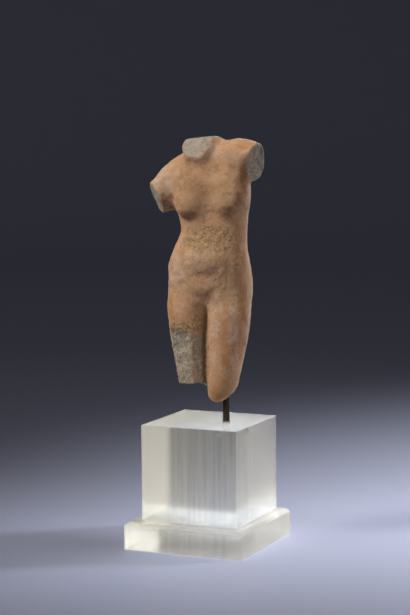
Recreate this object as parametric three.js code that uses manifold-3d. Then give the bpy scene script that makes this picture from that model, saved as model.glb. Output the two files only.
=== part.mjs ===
// Broken female torso of fired clay, held by one thin rod on a stepped plinth of frosted acrylic.
// Millimetres, +Z up. The origin is the centre of the plinth's underside and -Y is the plinth's front.

import * as THREE from 'three';
import { mergeVertices } from 'three/addons/utils/BufferGeometryUtils.js';
import Module from 'manifold-3d';

const wasm = await Module();
wasm.setup();

// Driving sizes of the plinth

const slabWidth = 74;
const slabDepth = 74;
const slabHeight = 16;
const slabChamfer = 2;
const blockWidth = 60;
const blockDepth = 60;
const blockHeight = 56;
const blockSetBack = 2.5;

// Driving sizes of the rod and its two seats

const rodDiameter = 4;
const rodOffset = 10.8;
const rodClearance = 0.3;
const blockSocketDepth = 6;
const torsoSocketDepth = 24;
const rodSides = 24;

// Driving sizes of the torso: its height, its place over the block and the way it is turned

const torsoHeight = 154;
const torsoLift = 12.5;
const torsoTurn = THREE.MathUtils.degToRad(10);

// Heights on the plinth that the other pieces stand on

const blockTop = slabHeight + blockHeight;
const torsoFoot = blockTop + torsoLift;
const socketRadius = rodDiameter / 2 + rodClearance;

// Materials

function material(colour, roughness, metalness, opacity = 1) {
  return new THREE.MeshStandardMaterial({
    color: colour,
    roughness,
    metalness,
    opacity,
    transparent: opacity < 1,
  });
}

const clay = material(0xb98260, 0.9, 0);
const darkIron = material(0x2a2522, 0.55, 0.8);
const acrylic = material(0xd9d7cf, 0.5, 0, 0.8);

// Solids and booleans

function toSolid(geometry) {
  const bare = geometry.clone();
  bare.deleteAttribute('normal');
  bare.deleteAttribute('uv');
  const merged = mergeVertices(bare, 1e-5);
  const vertProperties = new Float32Array(merged.attributes.position.array);
  const triVerts = new Uint32Array(merged.index.array);
  return new wasm.Manifold(new wasm.Mesh({ numProp: 3, vertProperties, triVerts }));
}

function toGeometry(solid) {
  const mesh = solid.getMesh();
  const geometry = new THREE.BufferGeometry();
  geometry.setAttribute('position', new THREE.BufferAttribute(mesh.vertProperties, 3));
  geometry.setIndex(new THREE.BufferAttribute(mesh.triVerts, 1));
  geometry.computeVertexNormals();
  return geometry;
}

function uprightCylinder(radius, bottom, top, x, y) {
  const cylinder = new THREE.CylinderGeometry(radius, radius, top - bottom, rodSides);
  cylinder.rotateX(Math.PI / 2);
  cylinder.translate(x, y, (top + bottom) / 2);
  return cylinder;
}

// A square form made of level outlines, each with its height and the margin cut off all round

function steppedBlock(width, depth, levels) {
  const corners = [[-1, -1], [1, -1], [1, 1], [-1, 1]];
  const position = [];
  for (const { height, margin } of levels) {
    for (const [sideX, sideY] of corners) {
      position.push(sideX * (width / 2 - margin), sideY * (depth / 2 - margin), height);
    }
  }
  const index = [0, 2, 1, 0, 3, 2];
  for (let level = 0; level < levels.length - 1; level += 1) {
    for (let side = 0; side < 4; side += 1) {
      const a = level * 4 + side;
      const b = level * 4 + ((side + 1) % 4);
      index.push(a, b, b + 4, a, b + 4, a + 4);
    }
  }
  const top = (levels.length - 1) * 4;
  index.push(top, top + 1, top + 2, top, top + 2, top + 3);
  const geometry = new THREE.BufferGeometry();
  geometry.setAttribute('position', new THREE.Float32BufferAttribute(position, 3));
  geometry.setIndex(index);
  geometry.computeVertexNormals();
  return geometry;
}

// Form functions of the torso. Each is negative inside its form and positive outside. Lengths are
// in hundredths of the torso's height: x to the figure's left, y to its back, z up from its foot.

function softUnion(a, b, blend) {
  const near = Math.max(blend - Math.abs(a - b), 0) / blend;
  return Math.min(a, b) - near * near * blend * 0.25;
}

function softCommon(a, b, blend) {
  return -softUnion(-a, -b, blend);
}

function softCarve(form, hollow, blend) {
  return softCommon(form, -hollow, blend);
}

function smoothStep(t) {
  const c = Math.min(Math.max(t, 0), 1);
  return c * c * (3 - 2 * c);
}

function mound([x, y, z], [cx, cy, cz], [rx, ry, rz]) {
  const dx = (x - cx) / rx;
  const dy = (y - cy) / ry;
  const dz = (z - cz) / rz;
  const scaled = Math.hypot(dx, dy, dz);
  const slope = Math.hypot(dx / rx, dy / ry, dz / rz) + 1e-6;
  return (scaled * (scaled - 1)) / slope;
}

function limb([x, y, z], [ax, ay, az], [bx, by, bz], radiusA, radiusB) {
  const dx = bx - ax;
  const dy = by - ay;
  const dz = bz - az;
  const along = ((x - ax) * dx + (y - ay) * dy + (z - az) * dz) / (dx * dx + dy * dy + dz * dz);
  const t = Math.min(Math.max(along, 0), 1);
  const away = Math.hypot(x - ax - dx * t, y - ay - dy * t, z - az - dz * t);
  return away - (radiusA + (radiusB - radiusA) * t);
}

function beyondPlane([x, y, z], [px, py, pz], [nx, ny, nz]) {
  return ((x - px) * nx + (y - py) * ny + (z - pz) * nz) / Math.hypot(nx, ny, nz);
}

// Low irregular swells, between about -1 and 1

function lumps(p, size) {
  const [x, y, z] = p.map((c) => c / size);
  const broad = Math.sin(1.3 * x + 0.7 * z + 1) * Math.cos(1.1 * y - 0.6 * x);
  return broad + 0.5 * Math.sin(2.3 * z + 1.7 * y + 2) * Math.sin(2.1 * x + 0.4);
}

// A smooth curve through the values that one key has in a list of sections

function curve(sections, key) {
  const z = sections.map((section) => section.z);
  const value = sections.map((section) => section[key]);
  const last = z.length - 1;
  const slope = value.map((v, i) => {
    if (i === 0) return (value[1] - value[0]) / (z[1] - z[0]);
    if (i === last) return (value[last] - value[last - 1]) / (z[last] - z[last - 1]);
    const before = z[i] - z[i - 1];
    const after = z[i + 1] - z[i];
    const rise = (value[i + 1] - v) * before * before + (v - value[i - 1]) * after * after;
    return rise / (before * after * (before + after));
  });
  return (height) => {
    const h = Math.min(Math.max(height, z[0]), z[last]);
    let i = 0;
    while (i < last - 1 && h > z[i + 1]) i += 1;
    const span = z[i + 1] - z[i];
    const t = (h - z[i]) / span;
    const t2 = t * t;
    const t3 = t2 * t;
    return (2 * t3 - 3 * t2 + 1) * value[i]
      + (t3 - 2 * t2 + t) * span * slope[i]
      + (3 * t2 - 2 * t3) * value[i + 1]
      + (t3 - t2) * span * slope[i + 1];
  };
}

// A column of rounded level sections: mid and middle are where the section is widest,
// half is its half width, front and back are how far it reaches forward and behind y = 0

function column(sections, squareness) {
  const mid = curve(sections, 'mid');
  const middle = curve(sections, 'middle');
  const half = curve(sections, 'half');
  const front = curve(sections, 'front');
  const back = curve(sections, 'back');
  return ([x, y, z]) => {
    const width = half(z);
    const dy = y - middle(z);
    const depth = dy < 0 ? front(z) + middle(z) : back(z) - middle(z);
    const u = Math.abs((x - mid(z)) / width) + 1e-4;
    const v = Math.abs(dy / depth) + 1e-4;
    const size = (u ** squareness + v ** squareness) ** (1 / squareness);
    const slope = Math.hypot(u ** (squareness - 1) / width, v ** (squareness - 1) / depth);
    return (size - 1) / (size ** (1 - squareness) * slope + 1e-6);
  };
}

const trunk = column([
  { z: 26, mid: 0.3, middle: -0.4, half: 15.2, front: 7.4, back: 7.5 },
  { z: 38, mid: 0.5, middle: -0.4, half: 15.6, front: 9, back: 9 },
  { z: 46, mid: 0.6, middle: -0.4, half: 15.6, front: 10, back: 8.8 },
  { z: 52, mid: 0.7, middle: -0.4, half: 15.5, front: 10.3, back: 7.6 },
  { z: 58, mid: 1.3, middle: -0.4, half: 13.9, front: 9.7, back: 6.9 },
  { z: 64, mid: 2.5, middle: -0.4, half: 12.6, front: 8.4, back: 6.6 },
  { z: 70, mid: 2.4, middle: -0.4, half: 13.2, front: 8.3, back: 7.3 },
  { z: 76, mid: 1.5, middle: -0.4, half: 14.5, front: 9, back: 8.3 },
  { z: 82, mid: 1.3, middle: -0.4, half: 14.5, front: 8.6, back: 8.8 },
  { z: 88, mid: 0.9, middle: -0.4, half: 11.5, front: 6.4, back: 7.8 },
  { z: 93, mid: 0.6, middle: -0.4, half: 7, front: 4.6, back: 6 },
  { z: 97, mid: 0.4, middle: -0.4, half: 5, front: 3.5, back: 5 },
], 2.3);

const rightThigh = column([
  { z: 0, mid: -5.2, middle: 0.6, half: 5.6, front: 5.9, back: 6 },
  { z: 8, mid: -5.6, middle: 0.5, half: 6.2, front: 6.5, back: 6.6 },
  { z: 16, mid: -6.3, middle: 0.4, half: 6.9, front: 7.2, back: 7.3 },
  { z: 25, mid: -7, middle: 0.1, half: 7.6, front: 8, back: 8 },
  { z: 34, mid: -7.5, middle: -0.1, half: 8.1, front: 8.9, back: 8.6 },
  { z: 42, mid: -7.9, middle: -0.2, half: 8.3, front: 9.4, back: 8.8 },
], 2.2);

const leftThigh = column([
  { z: -3, mid: 5.4, middle: -1.4, half: 5.2, front: 7.4, back: 4.4 },
  { z: 6, mid: 6, middle: -1.3, half: 6, front: 8.4, back: 5.4 },
  { z: 16, mid: 6.8, middle: -1.2, half: 6.8, front: 9.3, back: 6.6 },
  { z: 25, mid: 7.6, middle: -0.8, half: 7.7, front: 9.9, back: 7.7 },
  { z: 34, mid: 8.3, middle: -0.5, half: 7.9, front: 10.1, back: 8.6 },
  { z: 42, mid: 8.4, middle: -0.2, half: 8, front: 9.9, back: 8.8 },
], 2.2);

// The thighs with their two worn stumps, and the clay that joins them between

function thighs(p) {
  const z = p[2];
  const rightStump = beyondPlane(p, [-6, 0, 6.4], [0.06, -0.1, -1]) + 0.3 * lumps(p, 2.2);
  const right = softCommon(rightThigh(p), rightStump, 0.5);
  const tipCentre = 10.5;
  const tip = mound([p[0], p[1], Math.min(z, tipCentre)], [4.4, -1.6, tipCentre], [8.6, 8.6, 11]);
  const tipRelease = 0.35 * Math.max(0, z - 9);
  const slant = beyondPlane(p, [8, 0, 3.4], [0.56, 0.38, -0.74]) + 0.2 * lumps(p, 2.8);
  const left = softCommon(softCommon(leftThigh(p), tip - tipRelease, 2.5), slant, 0.8);
  const web = limb(p, [0.2, 0.6, 44], [0.2, 0.2, 8.8], 5.4, 3.4);
  return softUnion(softUnion(right, left, 1.2), web, 1.6);
}

// Shoulders, arm stumps and neck

const limbs = [
  { from: [0.8, 1.4, 87.8], to: [-12.6, 0.8, 83.2], radii: [6.4, 6.3], blend: 4 },
  { from: [2.5, 1.2, 89], to: [12.8, 0.6, 91.4], radii: [6.6, 7.2], blend: 3.4 },
  { from: [-1, 2, 93], to: [-10.5, 1.2, 87.4], radii: [4.6, 4.6], blend: 3 },
  { from: [-12.8, 0.6, 82.7], to: [-21.4, 0, 75.6], radii: [6.1, 5.8], blend: 2.2 },
  { from: [-11.4, 0.6, 77.8], to: [-19.4, 0.2, 74.8], radii: [5.4, 4], blend: 2 },
  { from: [12.8, 0.4, 91.2], to: [22, -2.2, 89.8], radii: [7.2, 7], blend: 2.6 },
  { from: [1.5, 2, 94.6], to: [9.6, 1, 93.4], radii: [3.4, 4.2], blend: 2.6 },
  { from: [1, 3, 90], to: [0.6, 1.8, 99.2], radii: [5.6, 4.4], blend: 3 },
  { from: [-0.4, 1.6, 88], to: [-3.8, -4.4, 96.4], radii: [6, 5], blend: 2 },
  { from: [0.6, 1.8, 88], to: [-2.2, -4.4, 96.4], radii: [5.8, 4.9], blend: 2 },
];

// Buttocks, side of the chest, shoulder blades, breasts, the chest over and beside them, belly
// and the mound under it

const swellings = [
  { at: [-7.2, 4.7, 43.4], size: [7.6, 6, 8.8], blend: 4.2 },
  { at: [7.7, 4.7, 44.4], size: [7.6, 6, 8.8], blend: 4.2 },
  { at: [10.6, 0.4, 79.5], size: [4.8, 7, 9], blend: 3 },
  { at: [-8, 5.6, 83], size: [4.4, 3.8, 6.6], blend: 3 },
  { at: [9.6, 5.8, 85.5], size: [4.4, 3.8, 6.6], blend: 3 },
  { at: [-5.8, -7, 74.4], size: [4.8, 3.5, 4.8], blend: 2.4 },
  { at: [9.2, -6.8, 75.2], size: [4.6, 3.4, 4.7], blend: 2.4 },
  { at: [-5.4, -4.6, 80.5], size: [6, 4.6, 8], blend: 3 },
  { at: [8.8, -4.4, 81], size: [5.6, 4.4, 8], blend: 3 },
  { at: [13, -4.2, 79.5], size: [2.8, 3.2, 6.5], blend: 3 },
  { at: [1.1, -8.3, 53.4], size: [6.6, 2.7, 4.8], blend: 3.8 },
  { at: [0.8, -6.8, 43.4], size: [5.4, 2.2, 5], blend: 3 },
];

// Creases at the fork, between the thighs, behind, along the spine, down the chest and from the
// left armpit to the breast

const creases = [
  { from: [0.6, -9.8, 37.4], to: [-4.4, -10.4, 42], radii: [0.6, 0.3], blend: 2.4 },
  { from: [0.8, -9.9, 37.8], to: [5.4, -10.9, 43], radii: [0.8, 0.3], blend: 2.6 },
  { from: [0.8, -10.4, 37.4], to: [0.6, -9, 4], radii: [0.8, 1.4], blend: 1.2 },
  { from: [0.3, 12.8, 50.5], to: [0.3, 11, 37.5], radii: [0.8, 1.3], blend: 2.4 },
  { from: [0.35, 10.4, 36], to: [0, 9.6, 4], radii: [1.2, 1.5], blend: 2 },
  { from: [1, 11, 86], to: [1.9, 9, 66], radii: [1, 1.2], blend: 4 },
  { from: [1.9, 9, 66], to: [0.5, 10.6, 52], radii: [1.2, 0.9], blend: 4 },
  { from: [2, -11.2, 80], to: [1.9, -10.2, 66], radii: [1, 0.8], blend: 3.4 },
  { from: [17.8, -7.9, 90.4], to: [15.6, -8.6, 81.5], radii: [0.7, 0.3], blend: 3.6 },
];

// The curved fold under the belly: the lower part of a ring seen from the front

function bellyFold([x, y, z]) {
  const ring = Math.hypot(x - 0.9, z - 54.4) - 6.3;
  const groove = Math.sqrt(ring * ring + 0.5 * (y + 12.2) ** 2);
  return softCommon(groove, z - 50.8, 2.4);
}

function wholeBody(p) {
  const z = p[2];
  const upper = softCommon(trunk(p), z - 93.5, 3);
  const share = smoothStep((44 - z) / 12);
  let form = upper * (1 - share) + thighs(p) * share;
  for (const { from, to, radii, blend } of limbs) {
    form = softUnion(form, limb(p, from, to, radii[0], radii[1]), blend);
  }
  for (const { at, size, blend } of swellings) form = softUnion(form, mound(p, at, size), blend);
  const wornHip = softCommon(mound(p, [12.9, 0.2, 43], [3, 5.6, 9.5]), 34.6 - z, 3);
  form = softUnion(form, wornHip, 2.2);
  form = softCarve(form, bellyFold(p), 3.2);
  for (const { from, to, radii, blend } of creases) {
    form = softCarve(form, limb(p, from, to, radii[0], radii[1]), blend);
  }
  return form;
}

// The broken faces: both arms, the neck, and the lost front of the right thigh with the strip
// beside it

function torsoForm(p) {
  const x = p[0];
  const z = p[2];
  let form = wholeBody(p);
  const swell = lumps(p, 2.6);
  const rightArm = beyondPlane(p, [-19.6, -0.5, 77], [-0.84, -0.39, -0.38]) + 0.3 * swell;
  form = softCommon(form, rightArm - 3 * Math.max(0, 70 - z), 0.5);
  const leftArm = beyondPlane(p, [19.1, -1, 91], [0.945, -0.3, -0.13]) + 0.35 * swell;
  form = softCommon(form, leftArm - 3 * Math.max(0, 81 - z), 0.5);
  const neck = beyondPlane(p, [-3.4, -4.9, 96], [-0.14, -0.8, 0.58]) + 0.3 * swell;
  form = softCommon(form, neck, 0.8);
  form = softCommon(form, z - 99.5 + 0.2 * swell, 1.6);
  const beforeFace = beyondPlane(p, [-4.6, -7.5, 18], [-0.42, -0.9, -0.07]) + 0.15 * swell;
  const faceEnd = 0.6 * (z - 25.2) - 0.8 * beforeFace;
  const lostFace = softCommon(softCommon(-beforeFace, faceEnd, 1.2), x + 4.6 + 0.03 * z, 0.6);
  form = softCarve(form, lostFace, 0.6);
  const lostStrip = limb(p, [-1.9, -7.9, 25], [-1.6, -7, 3], 1.3, 1.7);
  return softCarve(form, lostStrip, 0.7);
}

// The closed surface where the form is zero: one point in each grid cell that the surface
// crosses, moved onto it, and four of them round each grid edge that it crosses

function closedSurface(form, low, high, cell) {
  const count = low.map((l, axis) => Math.ceil((high[axis] - l) / cell) + 1);
  const place = (i, j, k) => (i * count[1] + j) * count[2] + k;
  const at = (i, j, k) => [low[0] + i * cell, low[1] + j * cell, low[2] + k * cell];
  const value = new Float64Array(count[0] * count[1] * count[2]);
  for (let i = 0; i < count[0]; i += 1) {
    for (let j = 0; j < count[1]; j += 1) {
      for (let k = 0; k < count[2]; k += 1) value[place(i, j, k)] = form(at(i, j, k));
    }
  }

  const cellPoint = new Int32Array(value.length).fill(-1);
  const points = [];
  for (let i = 0; i < count[0] - 1; i += 1) {
    for (let j = 0; j < count[1] - 1; j += 1) {
      for (let k = 0; k < count[2] - 1; k += 1) {
        const point = crossingPoint(value, place, [i, j, k], at(i, j, k), cell);
        if (point) {
          cellPoint[place(i, j, k)] = points.length;
          points.push(ontoSurface(form, point, cell));
        }
      }
    }
  }

  const index = [];
  const unit = [[1, 0, 0], [0, 1, 0], [0, 0, 1]];
  for (let i = 1; i < count[0] - 1; i += 1) {
    for (let j = 1; j < count[1] - 1; j += 1) {
      for (let k = 1; k < count[2] - 1; k += 1) {
        for (let axis = 0; axis < 3; axis += 1) {
          const [ux, uy, uz] = unit[axis];
          const inside = value[place(i, j, k)] < 0;
          const nextInside = value[place(i + ux, j + uy, k + uz)] < 0;
          if (inside === nextInside) continue;
          const [ax, ay, az] = unit[(axis + 1) % 3];
          const [bx, by, bz] = unit[(axis + 2) % 3];
          const quad = [
            cellPoint[place(i - ax - bx, j - ay - by, k - az - bz)],
            cellPoint[place(i - bx, j - by, k - bz)],
            cellPoint[place(i, j, k)],
            cellPoint[place(i - ax, j - ay, k - az)],
          ];
          if (nextInside) quad.reverse();
          index.push(...splitQuad(points, quad));
        }
      }
    }
  }
  return { points, index };
}

function crossingPoint(value, place, [i, j, k], corner, cell) {
  const sum = [0, 0, 0];
  let crossings = 0;
  for (let axis = 0; axis < 3; axis += 1) {
    for (let side = 0; side < 4; side += 1) {
      const offset = [0, 0, 0];
      offset[(axis + 1) % 3] = side & 1;
      offset[(axis + 2) % 3] = side >> 1;
      const a = value[place(i + offset[0], j + offset[1], k + offset[2])];
      offset[axis] = 1;
      const b = value[place(i + offset[0], j + offset[1], k + offset[2])];
      if (a < 0 === b < 0) continue;
      offset[axis] = a / (a - b);
      for (let n = 0; n < 3; n += 1) sum[n] += offset[n];
      crossings += 1;
    }
  }
  if (crossings === 0) return null;
  return sum.map((s, n) => corner[n] + (s / crossings) * cell);
}

function ontoSurface(form, start, cell) {
  const step = 0.05;
  const reach = cell * 0.45;
  let point = start;
  for (let round = 0; round < 3; round += 1) {
    const [x, y, z] = point;
    const slope = [
      (form([x + step, y, z]) - form([x - step, y, z])) / (2 * step),
      (form([x, y + step, z]) - form([x, y - step, z])) / (2 * step),
      (form([x, y, z + step]) - form([x, y, z - step])) / (2 * step),
    ];
    const steep = Math.max(slope[0] ** 2 + slope[1] ** 2 + slope[2] ** 2, 0.1);
    const move = form(point) / steep;
    point = point.map((c, n) => {
      const wanted = c - move * slope[n];
      return Math.min(Math.max(wanted, start[n] - reach), start[n] + reach);
    });
  }
  return point;
}

function splitQuad(points, [a, b, c, d]) {
  const apart = (m, n) => Math.hypot(...points[m].map((value, axis) => value - points[n][axis]));
  if (apart(a, c) <= apart(b, d)) return [a, b, c, a, c, d];
  return [a, b, d, b, c, d];
}

// The torso, with the seat of the rod cut up into the left thigh. The grid that its surface is
// found on is in the same hundredths of its height.

const gridLow = [-26, -16, -2.5];
const gridHigh = [25, 17, 103];
const gridCell = 1.68;

function torsoGeometry() {
  const share = torsoHeight / 100;
  const { points, index } = closedSurface(torsoForm, gridLow, gridHigh, gridCell);
  const position = points.flat().map((value) => value * share);
  const surface = new THREE.BufferGeometry();
  surface.setAttribute('position', new THREE.Float32BufferAttribute(position, 3));
  surface.setIndex(index);
  const seatX = rodOffset * Math.cos(torsoTurn);
  const seatY = -rodOffset * Math.sin(torsoTurn);
  const belowFoot = -torsoLift / 2;
  const seat = uprightCylinder(socketRadius, belowFoot, torsoSocketDepth, seatX, seatY);
  return toGeometry(toSolid(surface).subtract(toSolid(seat)));
}

function blockGeometry() {
  const block = steppedBlock(blockWidth, blockDepth, [
    { height: 0, margin: 0 },
    { height: blockHeight, margin: 0 },
  ]);
  const above = blockHeight + rodDiameter;
  const socketFloor = blockHeight - blockSocketDepth;
  const socket = uprightCylinder(socketRadius, socketFloor, above, rodOffset, 0);
  return toGeometry(toSolid(block).subtract(toSolid(socket)));
}

function slabGeometry() {
  return steppedBlock(slabWidth, slabDepth, [
    { height: 0, margin: 0 },
    { height: slabHeight - slabChamfer, margin: 0 },
    { height: slabHeight, margin: slabChamfer },
  ]);
}

function rodGeometry() {
  const bottom = blockTop - blockSocketDepth + rodClearance;
  const top = torsoFoot + torsoSocketDepth - rodClearance;
  return uprightCylinder(rodDiameter / 2, bottom, top, 0, 0);
}

// The scene graph

const sculpture = new THREE.Group();

function addPiece(parent, name, geometry, look, place) {
  const piece = new THREE.Mesh(geometry, look);
  piece.name = name;
  piece.position.set(...place);
  parent.add(piece);
  return piece;
}

addPiece(sculpture, 'base_slab', slabGeometry(), acrylic, [0, 0, 0]);
addPiece(sculpture, 'plinth_block', blockGeometry(), acrylic, [0, blockSetBack, slabHeight]);
addPiece(sculpture, 'mounting_rod', rodGeometry(), darkIron, [rodOffset, blockSetBack, 0]);
const torso = addPiece(sculpture, 'torso', torsoGeometry(), clay, [0, blockSetBack, torsoFoot]);
torso.rotation.z = torsoTurn;

export default sculpture;
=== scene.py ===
"""Broken terracotta torso on a thin rod above a stepped plinth of frosted acrylic.

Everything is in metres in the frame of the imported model: +Z up, -Y the plinth's front.
"""

import math

import bmesh
import bpy
import numpy as np
from mathutils import Matrix, Vector


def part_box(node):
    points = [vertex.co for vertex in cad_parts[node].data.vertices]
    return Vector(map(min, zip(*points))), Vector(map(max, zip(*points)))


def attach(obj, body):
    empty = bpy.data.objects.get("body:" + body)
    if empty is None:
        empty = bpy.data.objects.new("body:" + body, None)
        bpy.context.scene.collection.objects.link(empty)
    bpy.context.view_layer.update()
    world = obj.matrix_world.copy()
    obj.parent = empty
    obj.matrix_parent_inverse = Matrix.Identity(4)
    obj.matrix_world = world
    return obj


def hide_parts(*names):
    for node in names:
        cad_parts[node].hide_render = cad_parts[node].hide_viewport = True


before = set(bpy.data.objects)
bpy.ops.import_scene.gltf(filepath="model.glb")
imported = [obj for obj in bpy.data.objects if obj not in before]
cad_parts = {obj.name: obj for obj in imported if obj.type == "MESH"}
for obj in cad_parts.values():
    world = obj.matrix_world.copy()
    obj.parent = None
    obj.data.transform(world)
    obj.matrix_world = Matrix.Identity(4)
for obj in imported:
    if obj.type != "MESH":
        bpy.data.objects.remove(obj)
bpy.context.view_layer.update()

# Sizes in metres that the frame doesn't give
MM = 0.001
TORSO_TURN = math.radians(10)
FORM_LOW = np.array([-26.0, -16.0, -2.5])
FORM_HIGH = np.array([25.0, 17.0, 103.0])
FORM_CELL = 0.36
TORSO_SHARE = 1.54 * MM
SEAT_CLEARANCE = 0.3 * MM
SLAB_CHAMFER = 2.0 * MM
POLISHED_EDGE = 0.35 * MM
AIR_GAP = 0.05 * MM

# The photograph's camera
VIEW_AZIMUTH = math.radians(24.315)
VIEW_ELEVATION = math.radians(6.403)
VIEW_ROLL = math.radians(-0.498)
VIEW_DISTANCE = 1.1364
VIEW_TARGET_Z = 0.138718
VIEW_SIDE_STEP = -0.986 * MM
FOCAL_PIXELS = 1955.2
PHOTO_HEIGHT_PIXELS = 615
SENSOR = 36.0


# Form functions. Each is negative inside its form and positive outside. Lengths are in
# hundredths of the torso's height: x to the figure's left, y to its back, z up from its foot.

def soft_union(a, b, blend):
    near = np.maximum(blend - np.abs(a - b), 0) / blend
    return np.minimum(a, b) - near * near * blend * 0.25


def soft_common(a, b, blend):
    return -soft_union(-a, -b, blend)


def soft_carve(form, hollow, blend):
    return soft_common(form, -hollow, blend)


def smooth_step(t):
    c = np.clip(t, 0, 1)
    return c * c * (3 - 2 * c)


def length(*parts):
    return np.sqrt(sum(part * part for part in parts))


def mound(p, at, size):
    dx, dy, dz = ((p[n] - at[n]) / size[n] for n in range(3))
    scaled = length(dx, dy, dz)
    slope = length(dx / size[0], dy / size[1], dz / size[2]) + 1e-6
    return scaled * (scaled - 1) / slope


def limb(p, a, b, radius_a, radius_b):
    d = [b[n] - a[n] for n in range(3)]
    rel = [p[n] - a[n] for n in range(3)]
    along = sum(rel[n] * d[n] for n in range(3)) / sum(c * c for c in d)
    t = np.clip(along, 0, 1)
    away = length(*(rel[n] - d[n] * t for n in range(3)))
    return away - (radius_a + (radius_b - radius_a) * t)


def beyond_plane(p, at, normal):
    size = math.sqrt(sum(c * c for c in normal))
    return sum((p[n] - at[n]) * normal[n] / size for n in range(3))


def lumps(p, size):
    """Low irregular swells, between about -1 and 1."""
    x, y, z = (c / size for c in p)
    broad = np.sin(1.3 * x + 0.7 * z + 1.0) * np.cos(1.1 * y - 0.6 * x)
    return broad + 0.5 * np.sin(2.3 * z + 1.7 * y + 2.0) * np.sin(2.1 * x + 0.4)


def curve(heights, values):
    """A smooth curve through values given at heights."""
    z = np.array(heights, float)
    v = np.array(values, float)
    slope = np.gradient(v, z)

    def at(height):
        h = np.clip(height, z[0], z[-1])
        i = np.clip(np.searchsorted(z, h, side="right") - 1, 0, len(z) - 2)
        span = z[i + 1] - z[i]
        t = (h - z[i]) / span
        t2 = t * t
        t3 = t2 * t
        rising = (t3 - 2 * t2 + t) * span * slope[i] + (t3 - t2) * span * slope[i + 1]
        return (2 * t3 - 3 * t2 + 1) * v[i] + (3 * t2 - 2 * t3) * v[i + 1] + rising

    return at


def column(sections, squareness):
    """Rounded level sections: z, mid and middle (where it is widest), half width, front, back."""
    heights = [s[0] for s in sections]
    mid, middle, half, front, back = (
        curve(heights, [s[n] for s in sections]) for n in range(1, 6)
    )

    def form(p):
        x, y, z = p
        width = half(z)
        dy = y - middle(z)
        depth = np.where(dy < 0, front(z) + middle(z), back(z) - middle(z))
        u = np.abs((x - mid(z)) / width) + 1e-4
        v = np.abs(dy / depth) + 1e-4
        size = (u**squareness + v**squareness) ** (1 / squareness)
        slope = length(u ** (squareness - 1) / width, v ** (squareness - 1) / depth)
        return (size - 1) / (size ** (1 - squareness) * slope + 1e-6)

    return form


trunk = column([
    (26, 0.3, -0.4, 15.2, 7.4, 7.5),
    (38, 0.5, -0.4, 15.6, 9.0, 9.0),
    (46, 0.6, -0.4, 15.6, 10.0, 8.8),
    (52, 0.7, -0.4, 15.5, 10.3, 7.6),
    (58, 1.3, -0.4, 13.9, 9.7, 6.9),
    (64, 2.5, -0.4, 12.6, 8.4, 6.6),
    (70, 2.4, -0.4, 13.2, 8.3, 7.3),
    (76, 1.5, -0.4, 14.5, 9.0, 8.3),
    (82, 1.3, -0.4, 14.5, 8.6, 8.8),
    (88, 0.9, -0.4, 11.5, 6.4, 7.8),
    (93, 0.6, -0.4, 7.0, 4.6, 6.0),
    (97, 0.4, -0.4, 5.0, 3.5, 5.0),
], 2.3)

right_thigh = column([
    (0, -5.2, 0.6, 5.6, 5.9, 6.0),
    (8, -5.6, 0.5, 6.2, 6.5, 6.6),
    (16, -6.3, 0.4, 6.9, 7.2, 7.3),
    (25, -7.0, 0.1, 7.6, 8.0, 8.0),
    (34, -7.5, -0.1, 8.1, 8.9, 8.6),
    (42, -7.9, -0.2, 8.3, 9.4, 8.8),
], 2.2)

left_thigh = column([
    (-3, 5.4, -1.4, 5.2, 7.4, 4.4),
    (6, 6.0, -1.3, 6.0, 8.4, 5.4),
    (16, 6.8, -1.2, 6.8, 9.3, 6.6),
    (25, 7.6, -0.8, 7.7, 9.9, 7.7),
    (34, 8.3, -0.5, 7.9, 10.1, 8.6),
    (42, 8.4, -0.2, 8.0, 9.9, 8.8),
], 2.2)


def stump_cuts(p, right, left):
    """The two thighs with their worn, broken ends."""
    x, y, z = p
    right_end = beyond_plane(p, (-6, 0, 6.4), (0.06, -0.1, -1)) + 0.3 * lumps(p, 2.2)
    right = soft_common(right, right_end, 0.5)
    tip_centre = 10.5
    tip = mound((x, y, np.minimum(z, tip_centre)), (4.4, -1.6, tip_centre), (8.6, 8.6, 11))
    tip = tip - 0.35 * np.maximum(0, z - 9)
    slant = beyond_plane(p, (8, 0, 3.4), (0.56, 0.38, -0.74)) + 0.2 * lumps(p, 2.8)
    left = soft_common(soft_common(left, tip, 2.5), slant, 0.8)
    return right, left


def thighs(p, broken):
    right = right_thigh(p)
    left = left_thigh(p)
    if broken:
        right, left = stump_cuts(p, right, left)
    web = limb(p, (0.2, 0.6, 44), (0.2, 0.2, 8.8), 5.4, 3.4)
    return soft_union(soft_union(right, left, 1.2), web, 1.6)


# Shoulders, arms and neck: from, to, the two radii and the blend
LIMBS = [
    ((0.8, 1.4, 87.8), (-12.6, 0.8, 83.2), 6.4, 6.3, 4.0),
    ((2.5, 1.2, 89.0), (12.8, 0.6, 91.4), 6.6, 7.2, 3.4),
    ((-1.0, 2.0, 93.0), (-10.5, 1.2, 87.4), 4.6, 4.6, 3.0),
    ((-12.8, 0.6, 82.7), (-21.4, 0.0, 75.6), 6.1, 5.8, 2.2),
    ((-11.4, 0.6, 77.8), (-19.4, 0.2, 74.8), 5.4, 4.0, 2.0),
    ((12.8, 0.4, 91.2), (22.0, -2.2, 89.8), 7.2, 7.0, 2.6),
    ((1.5, 2.0, 94.6), (9.6, 1.0, 93.4), 3.4, 4.2, 2.6),
    ((1.0, 3.0, 90.0), (0.6, 1.8, 99.2), 5.6, 4.4, 3.0),
    ((-0.4, 1.6, 88.0), (-3.8, -4.4, 96.4), 6.0, 5.0, 2.0),
    ((0.6, 1.8, 88.0), (-2.2, -4.4, 96.4), 5.8, 4.9, 2.0),
]

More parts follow.
